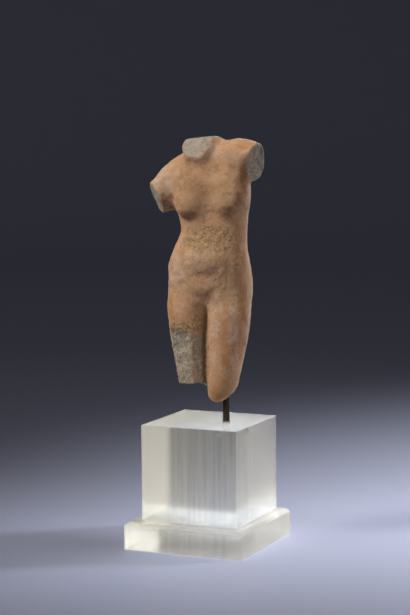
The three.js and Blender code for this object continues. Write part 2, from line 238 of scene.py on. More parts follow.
# Buttocks, side of the chest, shoulder blades, breasts, the chest over and beside them, belly
# and the mound under it
SWELLINGS = [
    ((-7.2, 4.7, 43.4), (7.6, 6.0, 8.8), 4.2),
    ((7.7, 4.7, 44.4), (7.6, 6.0, 8.8), 4.2),
    ((10.6, 0.4, 79.5), (4.8, 7.0, 9.0), 3.0),
    ((-8.0, 5.6, 83.0), (4.4, 3.8, 6.6), 3.0),
    ((9.6, 5.8, 85.5), (4.4, 3.8, 6.6), 3.0),
    ((-5.8, -7.0, 74.4), (4.8, 3.5, 4.8), 2.4),
    ((9.2, -6.8, 75.2), (4.6, 3.4, 4.7), 2.4),
    ((-5.4, -4.6, 80.5), (6.0, 4.6, 8.0), 3.0),
    ((8.8, -4.4, 81.0), (5.6, 4.4, 8.0), 3.0),
    ((13.0, -4.2, 79.5), (2.8, 3.2, 6.5), 3.0),
    ((1.1, -8.3, 53.4), (6.6, 2.7, 4.8), 3.8),
    ((0.8, -6.8, 43.4), (5.4, 2.2, 5.0), 3.0),
]

# Creases at the fork, between the thighs, behind, along the spine, down the chest and from
# the left armpit to the breast
CREASES = [
    ((0.6, -9.8, 37.4), (-4.4, -10.4, 42.0), 0.6, 0.3, 2.4),
    ((0.8, -9.9, 37.8), (5.4, -10.9, 43.0), 0.8, 0.3, 2.6),
    ((0.8, -10.4, 37.4), (0.6, -9.0, 4.0), 0.8, 1.4, 1.2),
    ((0.3, 12.8, 50.5), (0.3, 11.0, 37.5), 0.8, 1.3, 2.4),
    ((0.35, 10.4, 36.0), (0.0, 9.6, 4.0), 1.2, 1.5, 2.0),
    ((1.0, 11.0, 86.0), (1.9, 9.0, 66.0), 1.0, 1.2, 4.0),
    ((1.9, 9.0, 66.0), (0.5, 10.6, 52.0), 1.2, 0.9, 4.0),
    ((2.0, -11.2, 80.0), (1.9, -10.2, 66.0), 1.0, 0.8, 3.4),
    ((17.8, -7.9, 90.4), (15.6, -8.6, 81.5), 0.7, 0.3, 3.6),
]


def belly_fold(p):
    """The curved fold under the belly: the lower part of a ring seen from the front."""
    x, y, z = p
    ring = length(x - 0.9, z - 54.4) - 6.3
    groove = np.sqrt(ring * ring + 0.5 * (y + 12.2) ** 2)
    return soft_common(groove, z - 50.8, 2.4)


def whole_body(p, broken):
    x, y, z = p
    upper = soft_common(trunk(p), z - 93.5, 3.0)
    share = smooth_step((44 - z) / 12)
    form = upper * (1 - share) + thighs(p, broken) * share
    for a, b, radius_a, radius_b, blend in LIMBS:
        form = soft_union(form, limb(p, a, b, radius_a, radius_b), blend)
    for at, size, blend in SWELLINGS:
        form = soft_union(form, mound(p, at, size), blend)
    worn_hip = soft_common(mound(p, (12.9, 0.2, 43.0), (3.0, 5.6, 9.5)), 34.6 - z, 3.0)
    form = soft_union(form, worn_hip, 2.2)
    form = soft_carve(form, belly_fold(p), 3.2)
    for a, b, radius_a, radius_b, blend in CREASES:
        form = soft_carve(form, limb(p, a, b, radius_a, radius_b), blend)
    return form


def torso_form(p):
    """The body with its broken arms, neck and right thigh."""
    x, y, z = p
    form = whole_body(p, True)
    swell = lumps(p, 2.6)
    right_arm = beyond_plane(p, (-19.6, -0.5, 77), (-0.84, -0.39, -0.38)) + 0.3 * swell
    form = soft_common(form, right_arm - 3 * np.maximum(0, 70 - z), 0.5)
    left_arm = beyond_plane(p, (19.1, -1, 91), (0.945, -0.3, -0.13)) + 0.35 * swell
    form = soft_common(form, left_arm - 3 * np.maximum(0, 81 - z), 0.5)
    neck = beyond_plane(p, (-3.4, -4.9, 96.0), (-0.14, -0.8, 0.58)) + 0.3 * swell
    form = soft_common(form, neck, 0.8)
    form = soft_common(form, z - 99.5 + 0.2 * swell, 1.6)
    chips = lumps(p, 1.1)
    before_face = beyond_plane(p, (-4.6, -7.5, 18), (-0.42, -0.9, -0.07)) + 0.15 * swell
    face_end = 0.6 * (z - 25.2) - 0.8 * before_face + 0.3 * chips
    lost_face = soft_common(-before_face, face_end, 1.2)
    lost_face = soft_common(lost_face, x + 4.6 + 0.03 * z + 0.2 * chips, 0.6)
    form = soft_carve(form, lost_face, 0.6)
    lost_strip = limb(p, (-1.9, -7.9, 25), (-1.6, -7.0, 3), 1.3, 1.7) + 0.25 * chips
    return soft_carve(form, lost_strip, 0.7)


# The surface where a form is zero: one point in each grid cell that it crosses, and a face of
# four such points round each grid edge that it crosses

def closed_surface(form, low, high, cell):
    count = np.ceil((high - low) / cell).astype(int) + 1
    line = [(low[n] + cell * np.arange(count[n])).astype(np.float32) for n in range(3)]
    grid = (line[0][:, None, None], line[1][None, :, None], line[2][None, None, :])
    value = np.array(np.broadcast_to(form(grid), tuple(count)), np.float32)
    inside = value < 0
    cells = tuple(count - 1)
    corners = np.zeros(cells, np.uint8)
    for i, j, k in np.ndindex(2, 2, 2):
        corners += inside[i:i + cells[0], j:j + cells[1], k:k + cells[2]]
    crossed = (corners > 0) & (corners < 8)
    number = np.full(cells, -1, np.int64)
    places = np.argwhere(crossed)
    number[crossed] = np.arange(len(places))

    total = np.zeros((len(places), 3))
    crossings = np.zeros(len(places))
    for axis in range(3):
        across = [n for n in range(3) if n != axis]
        for side_a, side_b in np.ndindex(2, 2):
            start = places.copy()
            start[:, across[0]] += side_a
            start[:, across[1]] += side_b
            end = start.copy()
            end[:, axis] += 1
            a = value[tuple(start.T)].astype(float)
            b = value[tuple(end.T)].astype(float)
            crosses = (a < 0) != (b < 0)
            where = (start - places).astype(float)
            where[:, axis] = np.where(crosses, a / np.where(crosses, a - b, 1), 0)
            total += where * crosses[:, None]
            crossings += crosses
    points = low + (places + total / crossings[:, None]) * cell

    faces = []
    for axis in range(3):
        across = [n for n in range(3) if n != axis]
        first = [slice(None)] * 3
        second = [slice(None)] * 3
        first[axis] = slice(0, count[axis] - 1)
        second[axis] = slice(1, count[axis])
        here = inside[tuple(first)]
        edges = np.argwhere(here != inside[tuple(second)])
        outward = here[tuple(edges.T)] == (axis != 1)
        ring = []
        for step_a, step_b in ((-1, -1), (0, -1), (0, 0), (-1, 0)):
            at = edges.copy()
            at[:, across[0]] += step_a
            at[:, across[1]] += step_b
            ring.append(number[tuple(at.T)])
        ring = np.stack(ring, 1)
        ring[~outward] = ring[~outward][:, ::-1]
        faces.append(ring)
    return points, np.concatenate(faces)


def slope_of(form, points, step=0.05):
    slope = np.empty_like(points)
    for axis in range(3):
        ahead = points.copy()
        behind = points.copy()
        ahead[:, axis] += step
        behind[:, axis] -= step
        slope[:, axis] = (form(tuple(ahead.T)) - form(tuple(behind.T))) / (2 * step)
    return slope


def onto_surface(form, points, reach, rounds=2):
    moved = points.copy()
    for _ in range(rounds):
        slope = slope_of(form, moved)
        steep = np.maximum((slope * slope).sum(1), 0.1)
        moved -= (form(tuple(moved.T)) / steep)[:, None] * slope
        moved = np.clip(moved, points - reach, points + reach)
    return moved


# Noise made from whole numbers, the same on each run. These mix a cell's place into random bits

CELL_STEPS = np.array([73856093, 19349663, 83492791])
SEED_STEP = 2654435
FIRST_MIX = 1274126177
SECOND_MIX = 48271
LOW_BITS = 0x7FFFFFFF


def scatter(cell, seed):
    """An even random number from 0 to 1 for each whole-number cell."""
    mixed = cell.astype(np.int64) * CELL_STEPS + seed * SEED_STEP
    bits = mixed[..., 0] ^ mixed[..., 1] ^ mixed[..., 2]
    bits = (bits ^ (bits >> 13)) * FIRST_MIX
    bits = (bits ^ (bits >> 16)) & LOW_BITS
    bits = (bits * SECOND_MIX) & LOW_BITS
    return bits / float(LOW_BITS)


def noise(points, size, seed):
    """Smooth noise from -1 to 1 whose lumps are about size across."""
    scaled = points / size
    cell = np.floor(scaled)
    t = scaled - cell
    t = t * t * t * (t * (t * 6 - 15) + 10)
    total = np.zeros(len(points))
    for corner in np.ndindex(2, 2, 2):
        share = np.prod(np.where(corner, t, 1 - t), axis=1)
        total += share * scatter(cell + corner, seed)
    return total * 2 - 1


def cloud(points, size, seed, octaves=3):
    total = np.zeros(len(points))
    strength = 1.0
    for octave in range(octaves):
        total += strength * noise(points, size / 2**octave, seed + octave)
        strength *= 0.55
    return total


def specks(points, size, seed):
    """Distance from each point to the nearest of a scatter of spots, in spot spacings."""
    scaled = points / size
    cell = np.floor(scaled)
    nearest = np.full(len(points), 9.0)
    for step in np.ndindex(3, 3, 3):
        at = cell + np.array(step) - 1
        spot = at + np.stack([scatter(at, seed + n) for n in range(3)], 1)
        nearest = np.minimum(nearest, np.linalg.norm(spot - scaled, axis=1))
    return nearest


# The fine torso

# Where yellowish crust is left on the clay: middle, half sizes and how thick it lies
CRUST_PATCHES = [
    ((3.0, -8.0, 63.6), (7.0, 6.0, 3.2), 1.0),
    ((3.0, -7.5, 61.6), (12.5, 7.0, 5.8), 0.62),
    ((-8.0, -6.0, 28.6), (8.5, 6.0, 2.5), 1.0),
    ((-3.0, -7.0, 30.5), (3.4, 4.0, 3.6), 0.6),
    ((9.8, -11.0, 78.6), (2.4, 4.0, 1.6), 0.25),
    ((9.2, -11.0, 73.4), (2.2, 3.0, 1.5), 0.2),
    ((-9.0, -6.0, 12.0), (5.5, 4.0, 12.0), 0.35),
    ((0.1, -6.0, 18.0), (2.0, 6.0, 14.0), 0.85),
    ((-15.4, -4.0, 73.4), (4.2, 6.0, 3.2), 0.7),
    ((8.0, 9.0, 62.0), (7.0, 4.0, 4.0), 0.75),
    ((-6.0, 9.0, 30.0), (5.0, 4.0, 6.0), 0.6),
    ((4.0, 9.0, 90.0), (6.0, 4.0, 5.0), 0.6),
    ((11.0, 5.0, 20.0), (5.0, 5.0, 7.0), 0.55),
]

# Where ochre has stained it
STAIN_PATCHES = [
    ((15.6, -3.5, 96.8), (3.2, 5.0, 2.4), 0.9),
    ((-4.3, -6.6, 16.0), (0.75, 2.6, 11.0), 1.0),
    ((6.0, -7.0, 5.0), (7.0, 6.0, 8.0), 0.6),
    ((-13.2, -6.0, 34.0), (1.7, 5.0, 8.0), 0.75),
    ((-8.0, -7.0, 30.0), (7.0, 4.0, 3.0), 0.5),
    ((8.4, -9.0, 24.0), (1.5, 4.0, 17.0), 0.75),
    ((14.4, -4.6, 31.0), (1.9, 4.0, 15.0), 0.8),
    ((9.0, 8.0, 52.0), (6.0, 4.0, 7.0), 0.4),
    ((-7.0, 8.0, 74.0), (5.0, 4.0, 6.0), 0.4),
]

# Where brown earth has stayed in and under the forms, and painted shade: under the breasts, in the
# folds and creases, under the arms and the neck's lip, on the left arm's break, down the left side
# of the waist and thigh and on the stump's tip
EARTH_AND_SHADE_PATCHES = [
    ((-5.8, -9.0, 70.6), (4.2, 3.0, 2.3), 0.8),
    ((10.4, -9.0, 72.0), (4.6, 3.4, 2.8), 0.85),
    ((15.6, -6.0, 84.5), (1.9, 3.4, 7.0), 0.8),
    ((13.8, -7.0, 76.5), (2.4, 3.4, 5.0), 0.8),
    ((-0.8, -10.6, 50.2), (4.2, 3.0, 2.4), 0.6),
    ((3.8, -10.6, 48.0), (4.0, 3.0, 1.9), 0.4),
    ((0.7, -9.6, 40.4), (3.8, 3.0, 3.2), 0.85),
    ((-15.4, -4.0, 74.2), (4.4, 7.0, 4.4), 1.0),
    ((20.4, -1.0, 91.0), (2.2, 8.0, 8.0), 0.7),
    ((-12.6, -5.0, 76.0), (2.4, 5.0, 3.0), 0.9),
    ((-3.6, -6.6, 90.6), (5.4, 3.0, 1.8), 0.6),
    ((14.8, -4.6, 24.0), (2.2, 5.0, 20.0), 0.5),
    ((13.4, -6.0, 55.0), (2.4, 5.0, 12.0), 0.6),
    ((0.5, 9.5, 40.0), (2.4, 5.0, 9.0), 0.8),
    ((6.5, -6.0, 1.5), (6.0, 6.0, 5.0), 0.4),
    ((-15.0, 4.0, 76.0), (4.0, 5.0, 4.0), 0.6),
    ((1.6, 9.0, 72.0), (2.2, 4.0, 14.0), 0.5),
]

# Where the surface is rubbed pale
PALE_PATCHES = [
    ((-15.0, -3.0, 84.0), (6.5, 7.0, 6.5), 1.3),
    ((-1.8, -5.5, 96.0), (8.0, 5.0, 5.6), 1.7),
    ((-11.0, -7.0, 49.0), (6.0, 6.0, 10.0), 1.0),
    ((2.0, -10.0, 54.5), (9.0, 4.0, 4.6), 1.0),
    ((4.0, -9.0, 28.0), (2.4, 5.0, 14.0), 0.7),
    ((11.6, -8.2, 28.0), (1.8, 4.0, 18.0), 0.8),
    ((6.0, -9.0, 38.0), (4.0, 4.0, 4.0), 0.5),
    ((11.0, -5.0, 92.5), (5.0, 5.0, 3.5), 0.9),
    ((-8.0, 8.0, 44.0), (6.0, 6.0, 7.0), 0.6),
    ((9.0, 7.0, 84.0), (6.0, 5.0, 6.0), 0.5),
]


def painted(points, patches, raggedness, seed, grain):
    """How strongly a list of patches covers each point, with edges as ragged as the grain."""
    edge_end = 1.35
    edge_width = 0.9
    worn_off = 0.12 * raggedness
    cover = np.zeros(len(points))
    for at, size, strength in patches:
        away = np.linalg.norm((points - np.array(at)) / np.array(size), axis=1)
        cover = np.maximum(cover, strength * smooth_step((edge_end - away) / edge_width))
    rough = cloud(points, grain, seed, 4)
    return np.clip(cover * (1 + raggedness * rough) - worn_off, 0, 1)


def torso_masks(points, normals):
    """How far each point is broken, crusted, stained, pale, gritty or in a hollow, and how much
    brown earth with painted shade it gets.
    """
    p = tuple(points.T)
    depth = -whole_body(p, False)
    broken = smooth_step((depth - 0.12) / 0.45)
    x, y, z = p
    broken *= 1 - 0.92 * smooth_step(x - 0.2) * smooth_step((20 - z) / 6)
    ragged = 0.7 * cloud(points, 2.2, 17)
    scraped = smooth_step(26.2 + ragged - z) * smooth_step(-0.4 - x) * smooth_step((-0.6 - y) / 2)
    broken = np.maximum(broken, 0.85 * scraped)
    # How closed in each point lies among the forms; the colours use it for painted shade in hollows
    hollow = np.zeros(len(points))
    for reach in (0.8, 2.0, 4.0):
        ahead = tuple((points + normals * reach).T)
        hollow += np.clip(1 - torso_form(ahead) / reach, 0, 1) / 3
    crust = painted(points, CRUST_PATCHES, 0.9, 11, 1.5)
    return {
        "broken": broken,
        "hollow": hollow,
        "crust": crust * (1 - 0.75 * broken),
        "stain": painted(points, STAIN_PATCHES, 0.8, 23, 4.0),
        # Brown earth mixed with painted shade
        "earth_and_shade": painted(points, EARTH_AND_SHADE_PATCHES, 0.8, 83, 3.0),
        "pale": painted(points, PALE_PATCHES, 0.9, 97, 4.5),
        "gritty": 0.35 + 0.3 * smooth_step((71 + 3 * cloud(points, 5.0, 103) - z) / 9),
    }


def torso_relief(points, masks):
    """How far each point moves along its normal, in hundredths of the torso's height."""
    broken = masks["broken"]
    crust = masks["crust"]
    skin = 0.10 * cloud(points, 4.0, 31) + 0.045 * cloud(points, 1.3, 37, 2)
    pit_depth = np.clip(0.32 - specks(points, 2.1, 41), 0, 1)
    pits = -0.8 * pit_depth * (scatter(np.floor(points / 4.2), 43) > 0.4)
    grain = 0.16 * cloud(points, 2.0, 53) + 0.09 * cloud(points, 0.9, 59, 2)
    cracks = -0.3 * np.clip(0.09 - np.abs(noise(points, 3.6, 61)), 0, 1) / 0.09
    eaten = smooth_step(0.45 + 1.3 * noise(points, 2.3, 73))
    holes = -0.8 * eaten * np.clip(0.34 - specks(points, 1.0, 71), 0, 1)
    scab = 0.06 + 0.18 * cloud(points, 1.5, 67, 4) + holes
    relief = (skin + pits) * (1 - broken) + (grain + 0.4 * cracks) * broken
    return relief + crust * scab


def add_mesh(name, points, faces):
    mesh = bpy.data.meshes.new(name)
    mesh.vertices.add(len(points))
    mesh.vertices.foreach_set("co", np.asarray(points, np.float32).ravel())
    mesh.loops.add(faces.size)
    mesh.loops.foreach_set("vertex_index", faces.ravel().astype(np.int32))
    mesh.polygons.add(len(faces))
    mesh.polygons.foreach_set("loop_start", np.arange(0, faces.size, faces.shape[1], dtype=np.int32))
    mesh.update(calc_edges=True)
    mesh.validate()
    piece = bpy.data.objects.new(name, mesh)
    bpy.context.scene.collection.objects.link(piece)
    return piece


def shade_smooth(mesh):
    mesh.polygons.foreach_set("use_smooth", np.ones(len(mesh.polygons), bool))
    mesh.update()


def make_torso():
    low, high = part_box("torso")
    block_low, block_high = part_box("plinth_block")
    axis = (block_low + block_high) / 2
    rod_low, rod_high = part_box("mounting_rod")
    rod = (rod_low + rod_high) / 2 - axis
    rod.rotate(Matrix.Rotation(-TORSO_TURN, 3, "Z"))
    seat_radius = (rod_high.x - rod_low.x) / 2 + SEAT_CLEARANCE
    seat_top = rod_high.z + SEAT_CLEARANCE - low.z

    def seated_form(p):
        x, y, z = p
        blend = 0.2
        across = length(x - rod.x / TORSO_SHARE, y - rod.y / TORSO_SHARE)
        seat = soft_common(across - seat_radius / TORSO_SHARE, z - seat_top / TORSO_SHARE, blend)
        return soft_carve(torso_form(p), seat, blend)

    points, faces = closed_surface(seated_form, FORM_LOW, FORM_HIGH, FORM_CELL)
    points = onto_surface(seated_form, points, 0.45 * FORM_CELL)
    normals = slope_of(seated_form, points)
    normals /= np.linalg.norm(normals, axis=1)[:, None]
    masks = torso_masks(points, normals)
    points = points + normals * torso_relief(points, masks)[:, None]
    turn = np.array(Matrix.Rotation(TORSO_TURN, 3, "Z"))
    placed = points * TORSO_SHARE @ turn.T
    placed[:, 0] += axis.x
    placed[:, 1] += axis.y
    placed[:, 2] += high.z - placed[:, 2].max()
    torso = add_mesh("torso_fine", placed, faces)
    for name, values in masks.items():
        layer = torso.data.attributes.new(name, "FLOAT", "POINT")
        layer.data.foreach_set("value", values.astype(np.float32))
    shade_smooth(torso.data)
    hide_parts("torso")
    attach(torso, "root")
    return torso


# The plinth and the rod

def mesh_object(name, work):
    mesh = bpy.data.meshes.new(name)
    work.to_mesh(mesh)
    work.free()
    piece = bpy.data.objects.new(name, mesh)
    bpy.context.scene.collection.objects.link(piece)
    return piece


def square_ring(work, centre, half_x, half_y, z):
    signs = ((-1, -1), (1, -1), (1, 1), (-1, 1))
    return [work.verts.new((centre.x + a * half_x, centre.y + b * half_y, z)) for a, b in signs]


def round_ring(work, centre, radius, z, sides):
    angles = [2 * math.pi * n / sides for n in range(sides)]
    return [
        work.verts.new((centre.x + radius * math.cos(a), centre.y + radius * math.sin(a), z))
        for a in angles
    ]


def bridge(work, lower, upper):
    count = len(lower)
    for n in range(count):
        m = (n + 1) % count
        work.faces.new((lower[n], lower[m], upper[m], upper[n]))


def soften_edges(work, width):
    """Rounds the long edges between flat faces."""
    work.normal_update()
    sharp = [e for e in work.edges if len(e.link_faces) == 2 and e.calc_face_angle() > 0.6]
    bmesh.ops.bevel(
        work, geom=sharp, offset=width, segments=3, profile=0.5, affect="EDGES",
        clamp_overlap=True,
    )


def make_slab():
    low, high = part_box("base_slab")
    centre = (low + high) / 2
    half_x = (high.x - low.x) / 2
    half_y = (high.y - low.y) / 2
    work = bmesh.new()
    foot = square_ring(work, centre, half_x, half_y, low.z)
    shoulder = square_ring(work, centre, half_x, half_y, high.z - SLAB_CHAMFER)
    top = square_ring(work, centre, half_x - SLAB_CHAMFER, half_y - SLAB_CHAMFER, high.z - AIR_GAP)
    bridge(work, foot, shoulder)
    bridge(work, shoulder, top)
    work.faces.new(top)
    work.faces.new(list(reversed(foot)))
    soften_edges(work, POLISHED_EDGE)
    slab = mesh_object("base_slab_polished", work)
    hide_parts("base_slab")
    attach(slab, "root")
    return slab


def make_block():
    """The block with the blind seat of the rod in its top."""
    low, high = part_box("plinth_block")
    rod_low, rod_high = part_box("mounting_rod")
    centre = (low + high) / 2
    rod_centre = (rod_low + rod_high) / 2
    seat_radius = (rod_high.x - rod_low.x) / 2 + SEAT_CLEARANCE
    seat_floor = rod_low.z - SEAT_CLEARANCE
    half_x = (high.x - low.x) / 2
    half_y = (high.y - low.y) / 2
    work = bmesh.new()
    foot = square_ring(work, centre, half_x, half_y, low.z)
    top = square_ring(work, centre, half_x, half_y, high.z)
    bridge(work, foot, top)
    work.faces.new(top)
    work.faces.new(list(reversed(foot)))
    soften_edges(work, POLISHED_EDGE)
    block = mesh_object("plinth_block_polished", work)

    drill = bmesh.new()
    sides = 48
    bottom_ring = round_ring(drill, rod_centre, seat_radius, seat_floor, sides)
    top_ring = round_ring(drill, rod_centre, seat_radius, high.z + seat_radius, sides)
    bridge(drill, bottom_ring, top_ring)
    drill.faces.new(top_ring)
    drill.faces.new(list(reversed(bottom_ring)))
    cutter = mesh_object("seat_cutter", drill)
    cut = block.modifiers.new("seat", "BOOLEAN")
    cut.operation = "DIFFERENCE"
    cut.solver = "EXACT"
    cut.object = cutter
    bake_modifiers(block)
    bpy.data.objects.remove(cutter)
    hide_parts("plinth_block")
    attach(block, "root")
    return block


def bake_modifiers(piece):
    """Puts what the modifiers make into the mesh itself."""
    bpy.context.view_layer.update()
    depsgraph = bpy.context.evaluated_depsgraph_get()
    made = bpy.data.meshes.new_from_object(piece.evaluated_get(depsgraph))
    piece.modifiers.clear()
    piece.data = made


def make_rod():
    """A round rod with softened ends, slightly uneven from being drawn and handled."""
    low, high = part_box("mounting_rod")
    centre = (low + high) / 2
    radius = (high.x - low.x) / 2
    sides = 48
    end_round = 0.3 * MM
    rings_along = 90
    ripple_height = 0.015 * MM
    ripple_inset = 0.03 * MM
    slow_wave = 900
    quick_wave = 2300
    work = bmesh.new()
    rings = []
    for n in range(rings_along + 1):
        z = low.z + (high.z - low.z) * n / rings_along
        rings.append(round_ring(work, centre, radius, z, sides))
    for lower, upper in zip(rings, rings[1:]):
        bridge(work, lower, upper)
    work.faces.new(rings[-1])
    work.faces.new(list(reversed(rings[0])))
    for vert in work.verts:
        away = Vector((vert.co.x - centre.x, vert.co.y - centre.y, 0))
        near_end = min(vert.co.z - low.z, high.z - vert.co.z)
        trim = max(0.0, end_round - near_end)
        wave = math.sin(vert.co.z * slow_wave) + math.sin(vert.co.z * quick_wave + 1)
        ripple = ripple_height * wave - ripple_inset
        vert.co -= away.normalized() * (trim - ripple)
    rod = mesh_object("mounting_rod_drawn", work)
    shade_smooth(rod.data)
    rod.data.set_sharp_from_angle(angle=math.radians(50))
    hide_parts("mounting_rod")
    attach(rod, "root")
    return rod


# Materials

class Nodes:
    """A short way to write a node tree: each call adds a node and joins it up."""

    def __init__(self, name):
        self.material = bpy.data.materials.new(name)
        self.material.use_nodes = True
        self.tree = self.material.node_tree
        self.shader = self.tree.nodes["Principled BSDF"]
        self.place = self.add("ShaderNodeTexCoord").outputs["Object"]

    def add(self, kind, **settings):
        node = self.tree.nodes.new(kind)
        for key, value in settings.items():
            setattr(node, key, value)
        return node

    def plug(self, node, socket, value):
        if isinstance(value, bpy.types.NodeSocket):
            self.tree.links.new(value, node.inputs[socket])
        else:
            node.inputs[socket].default_value = value

    def attribute(self, name):
        return self.add("ShaderNodeAttribute", attribute_name=name).outputs["Fac"]

    def noise(self, scale, detail=4.0, roughness=0.55, stretch=None):
        node = self.add("ShaderNodeTexNoise")
        place = self.place
        if stretch is not None:
            mapping = self.add("ShaderNodeMapping")
            self.plug(mapping, "Vector", self.place)
            mapping.inputs["Scale"].default_value = stretch
            place = mapping.outputs["Vector"]
        self.plug(node, "Vector", place)
        self.plug(node, "Scale", scale)
        self.plug(node, "Detail", detail)
        self.plug(node, "Roughness", roughness)
        return node.outputs["Fac"]

    def spots(self, scale):
        node = self.add("ShaderNodeTexVoronoi")
        self.plug(node, "Vector", self.place)
        self.plug(node, "Scale", scale)
        return node.outputs["Distance"]

    def ramp(self, value, start, end, low=0.0, high=1.0):
        node = self.add("ShaderNodeMapRange", clamp=True)
        self.plug(node, "Value", value)
        self.plug(node, "From Min", start)
        self.plug(node, "From Max", end)
        self.plug(node, "To Min", low)
        self.plug(node, "To Max", high)
        return node.outputs["Result"]

    def math(self, operation, a, b, clamp=False):
        node = self.add("ShaderNodeMath", operation=operation, use_clamp=clamp)
        self.plug(node, 0, a)
        self.plug(node, 1, b)
        return node.outputs["Value"]

    def mix(self, share, a, b, blend="MIX"):
        node = self.add("ShaderNodeMix", data_type="RGBA", blend_type=blend)
        self.plug(node, "Factor", share)
        for socket, colour in ((6, a), (7, b)):
            if isinstance(colour, bpy.types.NodeSocket):
                self.tree.links.new(colour, node.inputs[socket])
            else:
                node.inputs[socket].default_value = (*colour, 1.0)
        return node.outputs[2]

    def bump(self, height, strength, distance, normal=None):
        node = self.add("ShaderNodeBump")
        self.plug(node, "Height", height)
        self.plug(node, "Strength", strength)
        self.plug(node, "Distance", distance)
        if normal is not None:
            self.tree.links.new(normal, node.inputs["Normal"])
        return node.outputs["Normal"]


def srgb(red, green, blue):
    """Linear light from 0 to 255 screen values."""
    shares = (red / 255, green / 255, blue / 255)
    return tuple(c / 12.92 if c < 0.04045 else ((c + 0.055) / 1.055) ** 2.4 for c in shares)


def terracotta_material():
    n = Nodes("terracotta_worn")
    broken = n.attribute("broken")
    crust = n.attribute("crust")
    hollow = n.attribute("hollow")
    stain = n.attribute("stain")
    earth_and_shade = n.attribute("earth_and_shade")
    pale = n.attribute("pale")
    gritty = n.attribute("gritty")
    wide = n.noise(48, 3)
    middle = n.noise(190, 4, 0.6)
    fine = n.noise(800, 4, 0.65)
    grain = n.noise(1700, 3, 0.7)

    tan = srgb(190, 150, 112)
    salmon = srgb(200, 152, 116)
    clay = n.mix(n.ramp(wide, 0.38, 0.62), tan, salmon)
    rubbed = n.math("MULTIPLY", n.ramp(middle, 0.36, 0.62, 0.25, 1.0), pale)
    clay = n.mix(n.math("MULTIPLY", rubbed, 0.8), clay, srgb(210, 182, 160))
    clay = n.mix(n.ramp(middle, 0.52, 0.70, 0.0, 0.5), clay, srgb(208, 176, 146))
    clay = n.mix(n.ramp(n.noise(130, 5, 0.7), 0.49, 0.66, 0.0, 0.6), clay, srgb(162, 116, 80))
    light_specks = n.math("MULTIPLY", n.ramp(fine, 0.53, 0.68, 0.0, 0.8), gritty)
    clay = n.mix(light_specks, clay, srgb(214, 182, 146))
    dark_specks = n.math("MULTIPLY", n.ramp(fine, 0.45, 0.30, 0.0, 0.75), gritty)
    clay = n.mix(dark_specks, clay, srgb(138, 96, 62))
    clay = n.mix(n.ramp(grain, 0.60, 0.74, 0.0, 0.25), clay, srgb(112, 74, 52))
    light_grit = n.ramp(n.spots(620), 0.05, 0.16, 0.85, 0.0)
    light_grit = n.math("MULTIPLY", light_grit, n.ramp(middle, 0.46, 0.56))
    clay = n.mix(light_grit, clay, srgb(232, 210, 180))
    dark_grit = n.ramp(n.spots(470), 0.04, 0.13, 0.9, 0.0)
    dark_grit = n.math("MULTIPLY", dark_grit, n.ramp(wide, 0.42, 0.58))
    clay = n.mix(dark_grit, clay, srgb(84, 58, 42))

    ochre = srgb(178, 124, 66)
    clay = n.mix(n.math("MULTIPLY", stain, n.ramp(middle, 0.34, 0.62, 0.35, 0.85)), clay, ochre)
    # Painted shade with brown earth: the clay darker brown in hollows and where the earth-and-shade
    # patches lie
    earth_and_hollow_shade = n.math("MULTIPLY", earth_and_shade, 0.85)
    earth_and_hollow_shade = n.math("ADD", n.ramp(hollow, 0.22, 0.72, 0.0, 0.6), earth_and_hollow_shade, clamp=True)
    dirt_and_shade = n.math("MULTIPLY", earth_and_hollow_shade, n.ramp(fine, 0.28, 0.66, 1.0, 0.55))
    clay = n.mix(dirt_and_shade, clay, srgb(126, 80, 50))

    crust_pale = srgb(196, 164, 120)
    crust_dark = srgb(112, 86, 58)
    crust_colour = n.mix(n.ramp(n.noise(820, 5, 0.7), 0.36, 0.62), crust_dark, crust_pale)
    # Painted shade: the crust darker in hollows
    crust_hollow_shade = n.ramp(hollow, 0.30, 0.75, 0.0, 0.5)
    crust_colour = n.mix(crust_hollow_shade, crust_colour, srgb(96, 74, 50))
    cover = n.math("MULTIPLY", n.ramp(crust, 0.05, 0.5), n.ramp(fine, 0.30, 0.60, 0.6, 1.0))
    clay = n.mix(cover, clay, crust_colour)

    core_light = srgb(202, 186, 162)
    core_dark = srgb(106, 96, 80)
    core = n.mix(n.ramp(n.noise(900, 5, 0.75), 0.36, 0.62), core_dark, core_light)
    core = n.mix(n.ramp(n.noise(80, 3), 0.5, 0.72, 0.0, 0.5), core, srgb(160, 144, 112))
    core = n.mix(n.ramp(n.noise(240, 4, 0.6), 0.46, 0.62, 0.0, 0.5), core, srgb(112, 106, 98))
    core = n.mix(n.math("MULTIPLY", pale, 0.8), core, srgb(178, 162, 148))
    # Painted shade with earth on the broken faces, darkest on the left arm's break
    core = n.mix(n.math("MULTIPLY", earth_and_shade, 0.7), core, srgb(96, 90, 84))
    core = n.mix(n.ramp(fine, 0.40, 0.26, 0.0, 0.7), core, srgb(74, 68, 58))
    # Painted shade: the broken faces darker in hollows
    core = n.mix(n.math("MULTIPLY", n.ramp(hollow, 0.25, 0.7), 0.45), core, srgb(92, 86, 66))
    rust = n.math("MULTIPLY", stain, n.ramp(fine, 0.40, 0.58, 0.2, 0.8))
    core = n.mix(rust, core, srgb(146, 102, 64))
    colour = n.mix(broken, clay, core)

    n.plug(n.shader, "Base Color", colour)
    n.plug(n.shader, "Roughness", n.ramp(fine, 0.3, 0.7, 0.80, 0.95))
    n.shader.inputs["Specular IOR Level"].default_value = 0.3
    n.shader.inputs["Sheen Weight"].default_value = 0.15
    n.shader.inputs["Sheen Roughness"].default_value = 0.45
    skin = n.bump(grain, 0.45, 0.10 * MM)
    pores = n.bump(n.ramp(n.spots(560), 0.0, 0.30), 0.4, 0.16 * MM, skin)
    swell = n.bump(n.noise(300, 4, 0.6), 0.35, 0.35 * MM, pores)
    rough = n.math("ADD", broken, crust)
    coarse = n.math("MULTIPLY", n.noise(420, 5, 0.75), rough)
    n.tree.links.new(n.bump(coarse, 0.7, 0.5 * MM, swell), n.shader.inputs["Normal"])
    return n.material


